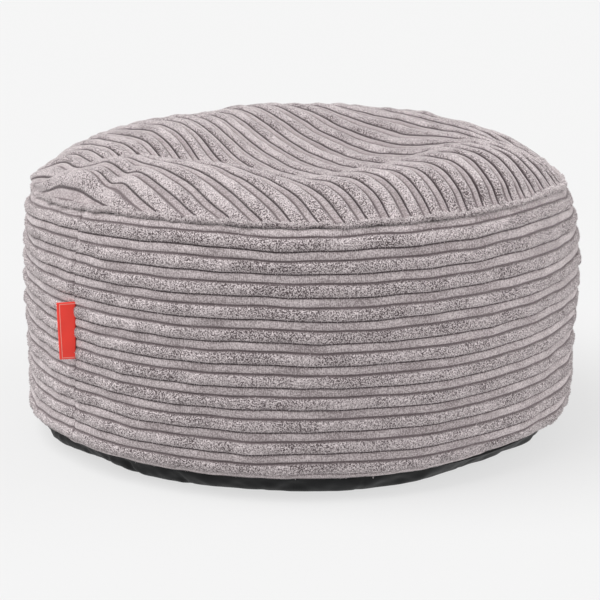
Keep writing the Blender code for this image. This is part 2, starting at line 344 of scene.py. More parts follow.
def corduroyPile():
    # Cut cotton corduroy: upright pile, matt from above and paler at a glancing angle, with shade painted dark
    # into its grooves and between its tufts
    look = cordLook
    made, tree, shader = newMaterial("cutCorduroy", {**cottonPile, "Specular IOR Level": 0.12})
    place, plan = textureSpace(tree)
    rise, wide, soft, paintedShade = [
        fromMesh(tree, name) for name in ("waleRise", "wideWale", "softGrooveShade", "paintedTopShade")]
    specks = noise(tree, place, look["speckSize"], detail=1.5, roughness=0.6)
    mottle = noise(tree, place, look["mottleSize"], detail=1.0)
    patches = noise(tree, place, look["patchSize"], detail=2.0)
    ribs = bands(tree, plan, look["ribPitch"], {"Distortion": 2.0, "Detail": 1.0, "Detail Scale": 2.0})
    # wide wales: pale tips over specks of painted shade, denser in some patches than in others and where shade
    # is painted on the top
    contrast = mapped(tree, patches, *look["speckPatches"])
    low = compute(tree, "SUBTRACT", 0.5, contrast)
    high = compute(tree, "MULTIPLY_ADD", paintedShade, look["topShadeSpecks"], look["speckHigh"])
    fluff = mapped(tree, specks, low, high)
    fluffColour = blend(tree, fluff, look["gapShade"], look["light"])
    # narrow wales: short pile, mottled and faintly ribbed, and darker where shade is painted on the top
    grain = mapped(tree, mottle, *look["mottle"])
    ribbed = blend(tree, look["ribShare"], grain, ribs, "FLOAT")
    worn = mapped(tree, patches, *look["wornPatches"])
    unshaded = compute(tree, "MULTIPLY_ADD", paintedShade, -look["topShadeOnNarrow"], 1.0)
    standing = compute(tree, "ADD", ribbed, worn, clamp=True)
    ribShare = compute(tree, "MULTIPLY", standing, unshaded)
    ribColour = blend(tree, ribShare, look["narrowDark"], look["narrow"])
    pile = blend(tree, wide, ribColour, fluffColour)
    # grooves: painted shade, darker at the foot of a steep side and paler at the foot of a gentle one
    climb = compute(tree, "SUBTRACT", rise, compute(tree, "MULTIPLY", soft, look["softSpread"]))
    depth = mapped(tree, climb, *look["grooveRise"], curve="SMOOTHSTEP")
    grooveShade = blend(tree, soft, look["crispGrooveShade"], look["softGrooveShade"])
    relief = blend(tree, wide, compute(tree, "MULTIPLY", ribbed, look["ribBump"]), fluff, "FLOAT")
    finishShader(tree, shader, blend(tree, depth, grooveShade, pile), relief, *look["bump"])
    return made


tuftLook = {
    "tip": "#e3d9da",
    # painted shade at the feet of the tufts
    "foot": "#534849",
    "shade": "#7f7576",  # the darkest tufts: some at random, and those where shade is painted on the top
}


def pileTufts():
    # Cut tufts of the wide wales: matt cotton tips, greyer at random and where shade is painted on the top,
    # with painted shade at their feet
    made, tree, shader = newMaterial("cutPileTufts", {**cottonPile, "Specular IOR Level": 0.1})
    tips = blend(tree, fromMesh(tree, "tuftTone"), tuftLook["shade"], tuftLook["tip"])
    finishShader(tree, shader, blend(tree, fromMesh(tree, "tuftHeight"), tuftLook["foot"], tips))
    return made


baseLook = {
    "thread": "#1a1b1c",
    "between": "#111112",
    "threadSpacing": 1.1,  # real threads are about 0.4 mm apart; drawn coarser so that they show
    "threadStray": 0.4,
    "patchSize": 30,
    "bump": (0.4, 0.15),
}


def wovenBaseCloth():
    # Plain-woven polyester: close threads, matt, a little paler where it is stretched
    look = baseLook
    made, tree, shader = newMaterial("plainWovenPolyester", {
        "Roughness": 0.82,
        "Specular IOR Level": 0.3,
        "Sheen Weight": 0.08,
    })
    place, plan = textureSpace(tree)
    warp, weft = [
        bands(tree, plan, look["threadSpacing"], {"Distortion": look["threadStray"]}, across)
        for across in (False, True)]
    weave = compute(tree, "MULTIPLY", warp, weft)
    patches = noise(tree, place, look["patchSize"], detail=3.0)
    colour = blend(tree, compute(tree, "ADD", weave, patches, clamp=True), look["between"], look["thread"])
    finishShader(tree, shader, colour, weave, *look["bump"])
    return made


ribbonLook = {
    "red": "#ff4a3b",
    "dark": "#f83c31",
    "line": "#f8b3a8",
    "threadSpacing": 0.9,  # real threads are about 0.3 mm apart; drawn coarser so that they show
    "threadStray": 0.3,
    "lineInset": 2.3,  # from the fold
    "endInset": 1.3,  # from the upper and lower edges
    "lineWidth": 0.36,
    "lineShare": 0.8,  # of the line's own colour
    "bump": (0.5, 0.1),
}


def wovenRibbon(length, width):
    # Woven polyester ribbon: fine ribs across it, a satin look, and one pale line just inside its edges
    look = ribbonLook
    made, tree, shader = newMaterial("wovenRibbon", {
        "Roughness": 0.6,
        "Specular IOR Level": 0.35,
        "Sheen Weight": 0.1,
    })
    plan = textureSpace(tree)[1]
    part = addNode(tree, "ShaderNodeSeparateXYZ", {"Vector": plan})
    threads = bands(tree, plan, look["threadSpacing"], {"Distortion": look["threadStray"]}, True)
    cloth = blend(tree, threads, look["dark"], look["red"])
    outX, outY = [
        compute(tree, "ABSOLUTE", compute(tree, "SUBTRACT", part.outputs[axis], middle))
        for axis, middle in (("X", length / 2), ("Y", width / 2))]
    inX = compute(tree, "SUBTRACT", outX, look["lineInset"])
    inY = compute(tree, "SUBTRACT", width / 2 - look["endInset"], outY)
    near = compute(tree, "ABSOLUTE", compute(tree, "MINIMUM", inX, inY))
    onLine = mapped(tree, near, look["lineWidth"] / 2, look["lineWidth"], look["lineShare"], 0.0)
    colour = blend(tree, onLine, cloth, look["line"])
    finishShader(tree, shader, colour, threads, *look["bump"])
    return made


pile = corduroyPile()
tips = pileTufts()
print("corduroy materials made")

# Side band: a filled drum whose wales run round it, its ends joined by one upright seam
lowBand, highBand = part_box("side_band")
lowTop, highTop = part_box("top_panel")
band = {
    "topSeam": (highBand.z + lowTop.z) / 2 / mm,  # heights of the two seams
    "baseSeam": lowBand.z / mm,
    "profile": (
        # height, radius at the foot of the wales
        (223, 235), (217.5, 239.6), (207, 243),
        (189, 244.9), (155, 245.6), (106, 243.8),
        (60, 241.2), (35, 239.8), (23.5, 237),
        (17, 229),
    ),
    "seamLine": (
        # lift and outward shift of the top seam, every 30 degrees from the front towards the right
        (0, 0), (1.2, 0), (2.5, 0),
        (-5.5, -6.5), (0, -3), (0.5, 0),
        (0, 0), (0.5, 0), (-1.5, -1),
        (-8, -4.5), (-2.8, 0), (1.8, 0),
    ),
    "seamLineFrom": 130.0,  # height from which the band follows its seam up or down
    "seamRoll": 1.5,  # cloth turned into the top seam before the first narrow wale
    "narrowShare": 0.4,  # of a pair
    "lean": 1.16,  # above 1 a wide wale's upper side is the gentler one
    "joinDirection": -49.0,
    "joinLean": 4.6,  # degrees that the upright seam leans over its height
    "joinDepth": 1.1,
    "joinHalfWidth": 1.7,  # degrees
    "joinStep": 0.7,  # how far the wales of the two ends miss each other
    "joinColumns": (0, 0.12, 0.3, 0.55, 0.85, 1.2, 1.6, 2.1, 2.7),  # degrees each side of the seam
    "columnsFrom": 0.72,  # degrees past the last of them at which even columns start
    "columnsEachSide": 246,
    "joinShade": (0.5, 0.25),  # how much darker the seam's crease is, and its half width in degrees
    "planRadius": 245.0,  # at which the cloth is laid out flat
    "free": 9.0,  # cloth beside each seam that is held by it
    "walesFrom": (-0.4, 1.2),  # stretch about the end of the seam's roll over which the wales rise
    "stray": ((0.45, 120, 11), (0.25, 34, 12)),  # of a groove from level, as rows of lumps
    "uneven": ((0.16, 20, 13),),  # share of the wales' height
    "puff": ((0.5, 75, 14), (0.22, 24, 15)),  # of the filling
    "slack": (
        # direction, height, half width in degrees, half height, push outwards
        (66, 206, 9, 14, -3), (-72, 209, 13, 14, 3.5), (-63, 118, 8, 34, -1.2),
        (14, 92, 32, 38, 1.2), (88, 120, 24, 60, 1.6), (142, 150, 22, 34, -1.8),
        (-166, 96, 30, 50, 1.5), (-118, 70, 20, 30, -1.6), (-90, 160, 38, 75, -4.4),
        (80, 26, 40, 26, 2), (86, 56, 36, 20, 2.4), (-70, 24, 20, 14, 4),
        (46, 19, 14, 10, -7),
    ),
}


def bandCourse():
    # Length of cloth down the profile, with the radius, height and outward normal at each of 900 steps
    steps = np.linspace(0, len(band["profile"]) - 1, 901)
    height, radius = smoothRows(band["profile"], steps).T
    length = np.concatenate([[0], np.cumsum(np.hypot(np.diff(radius), np.diff(height)))])
    slopeRadius = np.gradient(radius, length)
    slopeHeight = np.gradient(height, length)
    return {"length": length, "radius": radius, "height": height, "out": -slopeHeight, "up": slopeRadius}


course = bandCourse()
bandCloth = course["length"][-1]


def joinDirection(height):
    # The upright seam leans a little towards the left as it goes down
    middle = (band["topSeam"] + band["baseSeam"]) / 2
    span = band["topSeam"] - band["baseSeam"]
    return band["joinDirection"] + band["joinLean"] * (height - middle) / span


def bandSlack(direction, height):
    # Each row pushes by its most times exp(-across^2 - up^2)
    push = np.zeros(np.shape(direction))
    for centre, middle, width, reach, most in band["slack"]:
        across = turnBetween(direction, centre) / width
        up = (height - middle) / reach
        push += most * np.exp(-across**2 - up**2)
    return push


def joinDip(turn):
    # The crease at the upright seam: deepest in the middle, on two rounded shoulders
    near = np.clip(1 - np.abs(turn) / band["joinHalfWidth"], 0, 1)
    return band["joinDepth"] * near**1.5


def seamShift(direction):
    # Lift and outward shift of the top seam in a direction
    return smoothRing(band["seamLine"], direction)


def bandSurface(cloth, turn):
    # Point of the band at a length down the cloth (mm) and a turn from the upright seam (degrees). The
    # profile is carried round, a groove strays from level, and the wales rise along the outward normal
    cloth, turn = np.broadcast_arrays(cloth, turn)
    rise, wide = waleSection(cloth - band["seamRoll"], band["narrowShare"], band["lean"])
    level = np.interp(cloth, course["length"], course["height"])
    direction = joinDirection(level) + turn
    plain = np.stack([*placeAt(band["planRadius"], direction), level], axis=-1)
    free = smoothStep(cloth, 0, band["free"]) * smoothStep(bandCloth - cloth, 0, band["free"])
    missed = np.sign(turn) * band["joinStep"] * np.exp(-np.abs(turn))
    strayed = np.clip(cloth + free * (unevenness(plain, band["stray"]) + missed), 0, bandCloth)
    radius, height, out, up = [
        np.interp(strayed, course["length"], course[name]) for name in ("radius", "height", "out", "up")]
    start, end = band["walesFrom"]
    relief = waleRelief(rise, wide, plain, band["uneven"])
    relief = relief * smoothStep(cloth, band["seamRoll"] + start, band["seamRoll"] + end)
    push = bandSlack(direction, level) - joinDip(turn) + free * unevenness(plain, band["puff"])
    seamLift, seamOut = seamShift(direction) * smoothStep(level, band["seamLineFrom"], band["topSeam"]) ** 2
    x, y = placeAt(radius + relief * out + push + seamOut, direction)
    return np.stack([x, y, height + relief * up + seamLift], axis=-1)


def makeBand():
    # Rings of the band's surface from seam to seam, closed by a fan at each end
    lines = band["seamRoll"] + clothLines(0, bandCloth - band["seamRoll"], band["narrowShare"])
    lines = np.concatenate([[0], lines])
    nearJoin = np.array(band["joinColumns"])
    away = np.linspace(nearJoin[-1] + band["columnsFrom"], 180, band["columnsEachSide"])
    half = np.concatenate([nearJoin, away])
    turns = np.concatenate([-half[::-1][1:-1], half])
    points = bandSurface(lines[:, None], turns)
    points[0, :, 2] = highBand.z / mm + seamShift(joinDirection(band["topSeam"]) + turns)[0]
    points[-1, :, 2] = lowBand.z / mm
    piece = tubeObject("bandCloth", points, (highBand.z / mm, lowBand.z / mm))
    rise, wide = waleSection(lines - band["seamRoll"], band["narrowShare"], band["lean"])
    rise[0] = 0.5  # the seam's roll gets half a groove's painted shade
    soft = softSide(lines - band["seamRoll"], band["narrowShare"])
    # the crease under the top seam takes the paler painted shade of a gentle side
    soft[:3] = 1
    most, width = band["joinShade"]
    giveAttribute(piece, "waleRise", rise[:, None] * (1 - most * np.exp(-(turns / width) ** 2)))
    giveAttribute(piece, "wideWale", np.repeat(wide, len(turns)))
    giveAttribute(piece, "softGrooveShade", np.repeat(soft, len(turns)))
    giveClothPlan(piece, np.radians(turns) * band["planRadius"], lines[:, None])
    return piece


bandPiece = makeBand()
bandPiece.data.materials.append(pile)
print("side band made")

# Top panel: a flat disc of cord eased into a smaller seam, so that it puffs up round a sat-in hollow
top = {
    "seamRadius": (highTop.x - lowTop.x) / 2 / mm,
    "flatRadius": 254.0,
    "waleDirection": 36.0,
    "firstNarrow": -13.6,  # edge of a narrow wale nearest the middle
    "narrowShare": 0.36,
    "lean": 0.86,  # below 1 a wide wale's left side is the steeper one
    "reliefShare": 1.45,  # wales of the top stand higher than the band's, which is pulled tight
    "grooveSpread": (0.08, 0.1),  # how far the painted shade of the left and the right groove climbs
    "rightSpread": (0.17, 0.35, 0.85),  # how much further the painted groove shade climbs at the right, between two shares of the radius
    "pointsAlong": 204,
    "endInset": 0.3,
    # where the puff leans out over its seam: direction, half width, push; share of the way out, how wide
    "overhang": (-73.0, 17.0, 11.0, 0.95, 0.04),
    # where the wales wander: x, y, reach, most; size and seed of the lumps
    "ruffle": (-182.0, -98.0, 40.0, 3.4, 42.0, 26),
    "seamPull": 6,  # higher keeps the seam's own ups and downs nearer to it
    "held": (0.06, 0.07),  # shares of the way in over which the seam holds the cloth, and its folds
    "stray": ((0.5, 110, 21), (0.25, 30, 22)),  # of a groove from its line, as rows of lumps
    "uneven": ((0.08, 20, 25),),  # share of the wales' height
    "puff": ((0.7, 85, 23), (0.2, 30, 24)),  # of the filling
    "lip": 2.5,
    "lipSharpness": 40,
    "reliefLost": 0.75,  # at the seam
    "reliefSharpness": 36,
    "hollow": (10.0, -34.0),
    "hollowFloor": 226.0,
    "hollowRoundness": 1.6,
    # painted shade on the top: share, more at the right; x, y, reach and most round a place on the hollow's
    # far slope
    "paintedShade": (0.65, 0.45, 25.0, 60.0, 110.0, 0.55),
    "slack": (
        # x, y, half length, half width, direction of the length, push upwards
        (-140, -55, 64, 24, -60, -12), (-180, -140, 62, 25, 50, 18), (-150, -154, 18, 15, -40, -9),
        (-148, -100, 30, 14, 110, -2), (-200, -72, 30, 20, 0, 4), (-170, -126, 30, 11, 35, -7),
    ),
    "crest": (
        # direction seen from the hollow, crest height, its share of the way to the seam, roundness outside
        (0, 248.5, 0.78, 2), (30, 256, 0.74, 2.5), (60, 260, 0.70, 2.3),
        (90, 254.5, 0.64, 1.8), (120, 256.5, 0.62, 1.8), (150, 258, 0.64, 1.8),
        (180, 258.5, 0.68, 1.8), (210, 257.5, 0.62, 1.8), (240, 257.5, 0.57, 1.9),
        (270, 250, 0.71, 2.1), (300, 253.5, 0.74, 1.8), (330, 254, 0.73, 1.8),
    ),
}


def crownHeight(x, y):
    # Up from the seam to the crest as 1 - fall^roundness, then down into the hollow as a cosine to a power;
    # the share of the way out is measured from the hollow's middle to the seam on the same ray
    hollowX, hollowY = top["hollow"]
    outX = x - hollowX
    outY = y - hollowY
    out = np.hypot(outX, outY) + 1e-6
    across = (hollowX * outX + hollowY * outY) / out
    spare = hollowX**2 + hollowY**2 - top["seamRadius"] ** 2
    share = np.minimum(out / (np.sqrt(across**2 - spare) - across), 1.0)
    crest, where, roundness = smoothRing(top["crest"], np.degrees(np.arctan2(outX, -outY)))[1:]
    fall = np.clip((share - where) / (1 - where), 0, 1) ** roundness
    outer = band["topSeam"] + (crest - band["topSeam"]) * (1 - fall)
    bowl = (0.5 - 0.5 * np.cos(np.pi * np.minimum(share / where, 1))) ** top["hollowRoundness"]
    inner = top["hollowFloor"] + (crest - top["hollowFloor"]) * bowl
    height = np.where(share > where, outer, inner)
    held = smoothStep(1 - share, 0, top["held"][1])
    for middleX, middleY, length, width, heading, most in top["slack"]:
        goX, goY = placeAt(1.0, heading)
        along = ((x - middleX) * goX + (y - middleY) * goY) / length
        aside = ((x - middleX) * goY - (y - middleY) * goX) / width
        height = height + held * most * np.exp(-along**2 - aside**2)
    return height


def onDisc(across, along):
    # X and Y of a place on the flat disc, whose wales are turned to their direction
    wale = math.radians(top["waleDirection"])
    x = across * math.cos(wale) + along * math.sin(wale)
    return x, across * math.sin(wale) - along * math.cos(wale)


def topSurface(across, along):
    # Point of the top at a place on the flat disc (mm): drawn in towards the seam, lifted to the crown, and
    # raised along the crown's normal by the wale's rise and a few lumps of filling
    across, along = np.broadcast_arrays(across, along)
    rise, wide = waleSection(across - top["firstNarrow"], top["narrowShare"], top["lean"])
    flat = np.stack([across, along, 0 * across], axis=-1)
    share = np.minimum(np.hypot(across, along) / top["flatRadius"], 1.0)
    free = smoothStep(1 - share, 0, top["held"][0])
    strayed = across + free * unevenness(flat, top["stray"])
    middleX, middleY, reach, most, size, seed = top["ruffle"]
    x, y = onDisc(across, along)
    away = (x - middleX) ** 2 + (y - middleY) ** 2
    strayed = strayed + free * most * np.exp(-away / reach**2) * lumps(flat, size, seed)
    ease = top["flatRadius"] / top["seamRadius"] - 1
    scale = top["seamRadius"] / top["flatRadius"] * (1 + ease * (1 - share**2))
    x, y = [scale * side for side in onDisc(strayed, along)]
    step = 0.5
    slopeX = (crownHeight(x + step, y) - crownHeight(x - step, y)) / (2 * step)
    slopeY = (crownHeight(x, y + step) - crownHeight(x, y - step)) / (2 * step)
    steepness = np.sqrt(1 + slopeX**2 + slopeY**2)
    relief = waleRelief(rise, wide, flat, top["uneven"]) * top["reliefShare"]
    relief = relief * (1 - top["reliefLost"] * share ** top["reliefSharpness"])
    relief = relief + free * unevenness(flat, top["puff"])
    height = crownHeight(x, y) + relief / steepness + top["lip"] * share ** top["lipSharpness"]
    x = x - free * relief * slopeX / steepness
    y = y - free * relief * slopeY / steepness
    direction = np.degrees(np.arctan2(x, -y))
    seamLift, seamOut = seamShift(direction) * share ** top["seamPull"]
    centre, width, most, where, breadth = top["overhang"]
    aside = turnBetween(direction, centre) / width
    seamOut = seamOut + most * np.exp(-aside**2 - ((share - where) / breadth) ** 2)
    x, y = placeAt(np.hypot(x, y) + seamOut, direction)
    return np.stack([x, y, height + seamLift], axis=-1)


def paintedTopShade(points):
    # Painted shade on the top: it grows towards the right and, by exp(-distance^2), round a place on the
    # hollow's far slope
    share, rightwards, x, y, reach, most = top["paintedShade"]
    crushed = most * np.exp(-((points[..., 0] - x) ** 2 + (points[..., 1] - y) ** 2) / reach**2)
    return share + rightwards * points[..., 0] / top["seamRadius"] + crushed


def makeTop():
    # The surface over the flat disc, closed by a skirt down to the seam and a fan under it
    radius = top["flatRadius"]
    first = -radius + top["endInset"] - top["firstNarrow"]
    last = radius - top["endInset"] - top["firstNarrow"]
    lines = clothLines(first, last, top["narrowShare"]) + top["firstNarrow"]
    step = np.linspace(-1, 1, top["pointsAlong"])
    share = 0.5 * step + 0.5 * np.sin(step * np.pi / 2)
    along = share * np.sqrt(radius**2 - lines[:, None] ** 2)
    points = topSurface(lines[:, None], along)
    rows, columns = points.shape[:2]
    index = np.arange(rows * columns).reshape(rows, columns)
    rim = np.concatenate([index[0], index[1:, -1], index[-1, -2::-1], index[-2:0:-1, 0]])
    flat = points.reshape(-1, 3)
    foot = flat[rim]
    foot[:, 2] = lowTop.z / mm + seamShift(np.degrees(np.arctan2(foot[:, 0], -foot[:, 1])))[0]
    footIndex = len(flat) + np.arange(len(rim))
    following = np.roll(np.arange(len(rim)), -1)
    middle = np.full(len(rim), len(flat) + len(rim))
    skirt = np.concatenate([
        np.stack([rim[following], rim, footIndex], axis=1),
        np.stack([rim[following], footIndex, footIndex[following]], axis=1),
        np.stack([footIndex[following], footIndex, middle], axis=1),
    ])
    allPoints = np.concatenate([flat, foot, [(0, 0, lowTop.z / mm)]])
    piece = meshObject("topCloth", allPoints, gridQuads(rows, columns), skirt)
    rise, wide = waleSection(lines - top["firstNarrow"], top["narrowShare"], top["lean"])
    soft = 1 - softSide(lines - top["firstNarrow"], top["narrowShare"])
    # the grooves' painted shade climbs the wales' sides, further at the right
    left, right = top["grooveSpread"]
    climb = left * (1 - soft) + right * soft
    most, start, end = top["rightSpread"]
    further = most * smoothStep(points[..., 0] / top["seamRadius"], start, end)
    giveAttribute(piece, "waleRise", (rise - climb)[:, None] - further)
    giveAttribute(piece, "wideWale", np.repeat(wide, columns))
    giveAttribute(piece, "softGrooveShade", np.repeat(soft, columns))
    # shade painted over the top, more at the right and on the hollow's far slope
    giveAttribute(piece, "paintedTopShade", paintedTopShade(allPoints))
    giveClothPlan(piece, along, lines[:, None])
    return piece


topPiece = makeTop()
topPiece.data.materials.append(pile)
print("top panel made")

# Lip of the top seam: the cut edge of the top panel, rolled over the seam and fuzzy
lip = {
    "radius": 237.2,
    "halfWidth": 2.1,
    "halfHeight": 2.3,
    "middle": 1.2,  # above the seam
    "columns": 900,
    "sides": 10,
    "uneven": ((0.16, 14, 31), (0.1, 5, 32)),  # share of its size, as rows of lumps
    "outward": ((0.35, 22, 33),),  # how far it wanders out and up
    "upward": ((0.45, 30, 34),),
    "rise": (0.5, 0.2),  # how pale it is, and how much paler at its top and darker at its foot: painted shade that deepens towards its underside
}


def lipSurface(direction, side):
    # A rounded strip carried round the seam: an ellipse whose size and place vary along it
    direction, side = np.broadcast_arrays(direction, side)
    x, y = placeAt(lip["radius"], direction)
    plain = np.stack([x, y, 0 * x], axis=-1)
    size = 1 + unevenness(plain, lip["uneven"])
    outward = lip["halfWidth"] * size * np.cos(side) + unevenness(plain, lip["outward"])
    upward = lip["halfHeight"] * size * np.sin(side) + unevenness(plain, lip["upward"])
    seamLift, seamOut = seamShift(direction)
    x, y = placeAt(lip["radius"] + outward + seamOut, direction)
    return np.stack([x, y, band["topSeam"] + lip["middle"] + upward + seamLift], axis=-1)


def makeLip():
    # Rings of the strip, the last joined to the first
    directions = np.arange(lip["columns"]) * 360 / lip["columns"]
    sides = np.arange(lip["sides"]) * 2 * np.pi / lip["sides"]
    points = lipSurface(directions, sides[:, None])
    quads = gridQuads(lip["sides"] + 1, lip["columns"], True) % (lip["sides"] * lip["columns"])
    piece = meshObject("seamLip", points, quads, [])
    rise, more = lip["rise"]
    # the lip's painted shade, deepening from its top down to its foot
    giveAttribute(piece, "waleRise", np.repeat(rise + more * np.sin(sides), lip["columns"]))
    giveAttribute(piece, "wideWale", np.ones(len(piece.data.vertices)))
    giveClothPlan(piece, np.radians(directions) * lip["radius"], sides[:, None])
    return piece


lipPiece = makeLip()
lipPiece.data.materials.append(pile)
print("seam lip made")

# Base cloth: a filled pan, its rim rounded from the base seam down to the flat face on the floor
lowBase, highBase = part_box("base_panel")
base = {
    "seamRadius": 229.0,
    "floorRadius": 209.0,
    "profile": (
        # share of the height, share of the way out from the floor to the seam
        (1, 1), (0.85, 0.985), (0.62, 0.93),
        (0.42, 0.83), (0.28, 0.72), (0.16, 0.56),
        (0.08, 0.38), (0.02, 0.16), (0, 0),
    ),
    "columns": 720,
    "rows": 26,
    "planHeight": 30.0,  # heights at which the rim is laid out, for its puckers
    "clothHeight": 26.0,  # and as flat cloth
    "pucker": ((0.9, 40, 41), (0.54, 15, 42)),  # rows of lumps
    "drawnIn": (
        # direction, half width in degrees, push at the floor
        (46, 18, -13), (-50, 10, -6), (-67, 10, 8),
        (-12, 9, -2), (14, 9, 1.5),
    ),
    "pleats": (
        # direction at the floor, lean in degrees towards the seam, half width in degrees, depth
        (-36.5, -3, 0.9, 3.2), (-24, -2, 0.7, 2.2), (-46, 2, 0.8, 2),
        (38, 2.5, 0.9, 2.2), (-8, 1, 0.8, 1.6), (12, 1.5, 0.7, 1.2),
        (95, 2, 0.9, 1.8), (150, -2, 0.8, 2), (-130, 2, 0.9, 2),
    ),
}


def basePush(direction, up):
    # The floor's edge is drawn in or pushed out by exp(-turn^2), and a pleat sinks along a leaning line
    push = 0 * direction * up
    for centre, width, most in base["drawnIn"]:
        push = push + most * np.exp(-(turnBetween(direction, centre) / width) ** 2) * (1 - up) ** 0.7
    for centre, lean, width, depth in base["pleats"]:
        turn = turnBetween(direction, centre + lean * up) / width
        push = push - depth * np.exp(-turn**2) * smoothStep(1 - up, 0, 0.3) * smoothStep(up, 0, 0.15)
    return push


def makeBase():
    # The rim's profile carried round, pushed in and out by puckers that die away at the seam and the floor
    rows = smoothRows(base["profile"], np.linspace(0, len(base["profile"]) - 1, base["rows"]))
    up, out = [np.clip(column, 0, 1)[:, None] for column in rows.T]
    directions = np.arange(base["columns"]) * 360 / base["columns"]
    x, y = placeAt(base["seamRadius"], directions)
    plain = np.stack(np.broadcast_arrays(x, y, base["planHeight"] * up), axis=-1)
    radius = base["floorRadius"] + out * (base["seamRadius"] - base["floorRadius"])
    radius = radius + 4 * up * (1 - up) * unevenness(plain, base["pucker"])
    x, y = placeAt(radius + basePush(directions, up), directions)
    points = np.stack(np.broadcast_arrays(x, y, up * highBase.z / mm), axis=-1)
    piece = tubeObject("baseCloth", points, (highBase.z / mm, 0))
    giveClothPlan(piece, np.radians(directions) * base["seamRadius"], base["clothHeight"] * up)
    return piece


basePiece = makeBase()
basePiece.data.materials.append(wovenBaseCloth())
print("base cloth made")

# Side tab: a ribbon folded once and caught in the upright seam, from which it stands out to the left
lowTab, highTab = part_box("label")
tab = {
    "low": lowTab.z / mm,
    "high": highTab.z / mm,
    "reachLow": 12.6,  # from the seam to the fold, at the lower and at the upper edge
    "reachHigh": 15.0,
    "heading": -75.0,  # direction in which it stands out
    "root": -0.6,  # below the foot of the wales
    "foldRadius": 0.45,
    "thickness": 0.5,
    "wave": ((0.45, 26, 51),),  # how far the ribbon's free end waves aside, as a row of lumps
    "rowsUp": 40,
    "pointsFlat": 16,
    "pointsFold": 9,
}
tab["length"] = tab["reachLow"] + tab["reachHigh"] + math.pi * tab["foldRadius"]
tab["width"] = tab["high"] - tab["low"]


def makeTab():
    # A straight path out from the seam, a small half circle and the way back make the fold; the path is
    # carried up the seam, its reach growing with the height, and the ribbon waves away from its root
    share = np.linspace(0, 1, tab["pointsFlat"])[None, :]
    bend = np.linspace(0, math.pi, tab["pointsFold"])[None, 1:-1]
    climb = np.linspace(0, 1, tab["rowsUp"])[:, None]
    reach = tab["reachLow"] + climb * (tab["reachHigh"] - tab["reachLow"])
    radius = tab["foldRadius"]
    turned = math.pi * radius
    out = np.concatenate([share * reach, reach + radius * np.sin(bend), (1 - share) * reach], axis=1)
    aside = np.concatenate([0 * share + radius, radius * np.cos(bend), 0 * share - radius], axis=1)
    path = np.concatenate([share * reach, reach + radius * bend, reach + turned + share * reach], axis=1)
    height = tab["low"] + climb * tab["width"] + 0 * out
    plain = np.stack([out, height, 0 * out], axis=-1)
    aside = aside + unevenness(plain, tab["wave"]) * (out / tab["reachHigh"])
    direction = joinDirection(height)
    foot = np.interp(height, course["height"][::-1], course["radius"][::-1])
    x, y = placeAt(foot + tab["root"] + bandSlack(direction, height), direction)
    headX, headY = placeAt(1.0, tab["heading"])
    points = np.stack([x + out * headX - aside * headY, y + out * headY + aside * headX, height], axis=-1)
    mesh = bpy.data.meshes.new("sideTab")
    mesh.from_pydata((points.reshape(-1, 3) * mm).tolist(), [], gridQuads(*points.shape[:2]).tolist())
    mesh.shade_smooth()
    piece = bpy.data.objects.new("sideTab", mesh)
    bpy.context.scene.collection.objects.link(piece)
    flatPath = path - reach - turned / 2 + tab["length"] / 2
    giveClothPlan(piece, flatPath, climb * tab["width"])
    wall = piece.modifiers.new("ribbon thickness", "SOLIDIFY")
    wall.thickness = tab["thickness"] * mm
    wall.offset = 0
    return piece


tabPiece = makeTab()
tabPiece.data.materials.append(wovenRibbon(tab["length"], tab["width"]))
print("side tab made")

# Cut pile that stands up from the wide wales and from the lip
tufts = {
    "acrossBand": 6,  # tufts across a wide wale of the band, and of the top
    "acrossTop": 7,
    "spacing": 1.6,  # real tufts are about 0.8 mm apart; made coarser so that they show
    "lipSpacing": 1.4,
    "footRadius": 0.66,
    "height": 0.95,
    "lean": 0.6,
    "sunk": 0.45,
    "breadths": (0.7, 1.35),  # smallest and largest tuft against the usual one
    "feet": (0.75, 1.2),  # and its three feet against each other
    "heights": (0.5, 1.25),
    "footPaleness": 0.35,  # of a foot, painted darker as the shade among the roots; a tip has 1
    "gentleMargin": 0.09,  # share of the wale left bare beside its gentle side
    "steepMargin": 0.03,  # and beside its steep side, on the band and on the top
    "topMargin": 0.07,
    "topTone": (0.26, 0.76),  # lowest and highest tone beside a steep side, 0 for the darkest tufts
    "topFlankShade": (0.35, 0.5),  # how much both grow towards the gentle side, as shade painted on the steep side
    "topShadeLoss": 0.3,  # and how much they lose where shade is painted on the top
    "lipTone": (0.4, 1.3),  # a tone above 1 counts as 1, so many of them are as pale as can be
    "topSize": 0.55,  # tufts of the top and of the lip against those of the band
    "lipSize": 1.2,
    "lipRows": 8,
    "lipSides": (-65, 180),  # angles round the lip between which it has tufts, 90 at its top
    "joinMargin": 0.25,  # degrees left bare on each side of the upright seam
    "edgeMargin": 1.0,  # cloth left bare at the base seam and round the top's edge
}


def surfaceNormals(surface, first, second, stepFirst, stepSecond):
    # Cross product of the surface's two slopes, read a small step to each side
    alongFirst = surface(first + stepFirst, second) - surface(first - stepFirst, second)
    alongSecond = surface(first, second + stepSecond) - surface(first, second - stepSecond)
    normals = np.cross(alongFirst, alongSecond)
    return normals / np.linalg.norm(normals, axis=-1)[..., None]


def jittered(draw, steps, shape):
    # Shares of the way along the steps, each moved at random within its own step
    return (steps + draw.uniform(0, 1, shape)) / steps.size


def acrossWales(draw, wales, grid, margins, narrowShare):
    # Jittered places on each wide wale: shares of the way across it, and lengths of cloth in mm
    start, end = margins
    across = start + (1 - start - end) * jittered(draw, np.arange(grid[0])[:, None], (len(wales), *grid))
    place = np.array(wales)[:, None, None] + narrowShare + (1 - narrowShare) * across
    return across, place * cord["pairWidth"]


